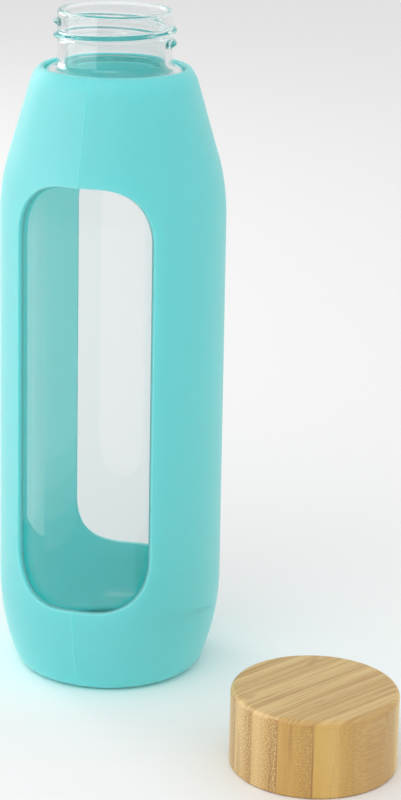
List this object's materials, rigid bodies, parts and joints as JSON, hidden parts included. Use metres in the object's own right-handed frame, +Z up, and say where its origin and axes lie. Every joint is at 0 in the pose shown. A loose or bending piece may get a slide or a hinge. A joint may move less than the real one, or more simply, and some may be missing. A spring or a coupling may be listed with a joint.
{
  "type": "glass water bottle",
  "caption": "Clear glass water bottle in a soft silicone sleeve with two tall windows, its round bamboo screw lid off and standing beside it.",
  "frame": {"origin": "centre of the underside of the bottle's sleeve, on the surface it stands on", "axes": "+Z up the bottle's axis; the sleeve's windows face -Y and +Y; the lid stands towards +X and -Y"},
  "size_m": [0.15, 0.1243, 0.2231],
  "materials": {
    "glass": "clear, fire-polished rim",
    "sleeve_silicone": "soft matte mint-turquoise silicone",
    "bamboo": "sanded and oiled bamboo strips, satin",
    "liner_plastic": "natural white polypropylene",
    "seal_silicone": "translucent white silicone"
  },
  "bodies": {
    "bottle": {"glass_bottle": "glass", "silicone_sleeve": "sleeve_silicone"},
    "seal": {"lid_seal_ring": "seal_silicone"},
    "lid": {"bamboo_strip_1": "bamboo", "bamboo_strip_2": "bamboo", "bamboo_strip_3": "bamboo", "bamboo_strip_4": "bamboo", "bamboo_strip_5": "bamboo", "bamboo_strip_6": "bamboo", "lid_thread_liner": "liner_plastic"}
  },
  "joints": [
    {"name": "lid_lift", "type": "slide", "parent": "bottle", "child": "seal", "axis": [0, 0, 1], "range_m": [0, 0.225]},
    {"name": "lid_turn", "type": "hinge", "parent": "seal", "child": "lid", "pos_m": [0.0861, -0.0605, 0], "axis": [0, 0, 1], "range_deg": [-540, 0]}
  ]
}
